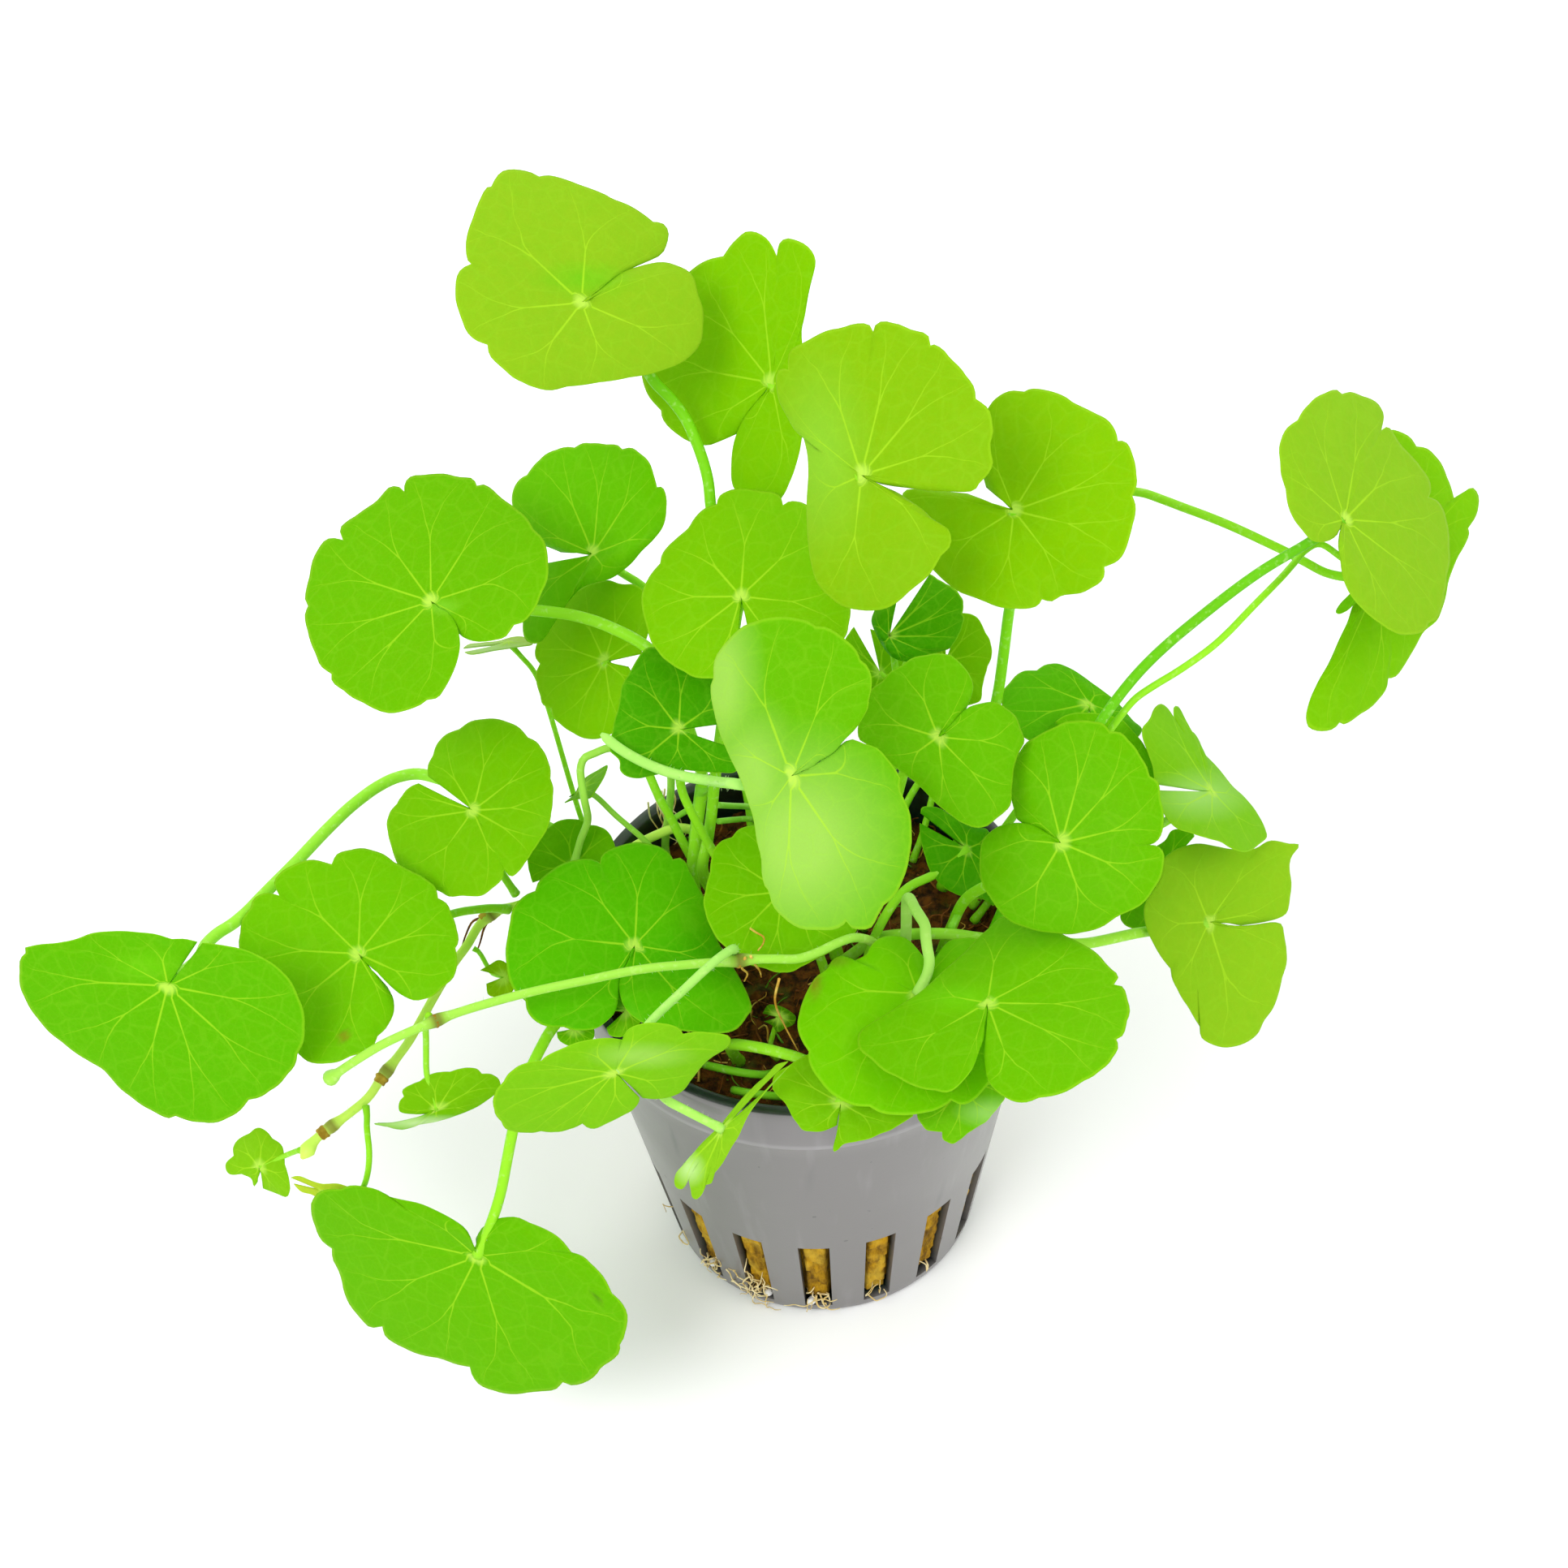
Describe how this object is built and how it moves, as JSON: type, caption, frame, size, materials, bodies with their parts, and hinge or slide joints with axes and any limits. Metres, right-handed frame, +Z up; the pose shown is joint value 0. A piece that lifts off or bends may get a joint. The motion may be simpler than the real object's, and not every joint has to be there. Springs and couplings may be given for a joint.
{
  "type": "potted aquarium plant",
  "caption": "Trailing aquarium plant with round scalloped green leaves on long stalks and creeping runners, rooted in a small tapered slotted net pot with a mineral wool plug.",
  "frame": {"origin": "centre of the underside of the pot's base", "axes": "+Z up along the pot's axis, -Y toward the viewer of the front, +X to that viewer's right"},
  "size_m": [0.1578, 0.0879, 0.1111],
  "materials": {
    "leaf": "satin, soft waxy leaf",
    "stem": "satin, hairy stem",
    "pot": "semi-gloss grey plastic",
    "rockwool": "rough mineral wool with roots"
  },
  "bodies": {
    "root": {"leaf_01": "leaf", "leaf_02": "leaf", "leaf_03": "leaf", "leaf_04": "leaf", "leaf_05": "leaf", "leaf_06": "leaf", "leaf_07": "leaf", "leaf_08": "leaf", "leaf_09": "leaf", "leaf_10": "leaf", "leaf_11": "leaf", "leaf_12": "leaf", "leaf_13": "leaf", "leaf_14": "leaf", "leaf_15": "leaf", "leaf_16": "leaf", "leaf_17": "leaf", "leaf_18": "leaf", "leaf_19": "leaf", "leaf_20": "leaf", "leaf_21": "leaf", "leaf_22": "leaf", "leaf_23": "leaf", "leaf_25": "leaf", "leaf_26": "leaf", "leaf_27": "leaf", "leaf_28": "leaf", "leaf_29": "leaf", "leaf_30": "leaf", "leaf_31": "leaf", "leaf_32": "leaf", "leaf_33": "leaf", "leaf_34": "leaf", "leaf_35": "leaf", "leaf_36": "leaf", "leaf_37": "leaf", "leaf_38": "leaf", "leaf_39": "leaf", "leaf_40": "leaf", "leaf_41": "leaf", "leaf_42": "leaf", "leaf_43": "leaf", "leaf_44": "leaf", "leaf_45": "leaf", "leaf_46": "leaf", "leaf_47": "leaf", "net_pot": "pot", "rockwool_plug": "rockwool", "runner_front": "stem", "runner_left": "stem", "stem_stub": "stem"}
  },
  "joints": []
}
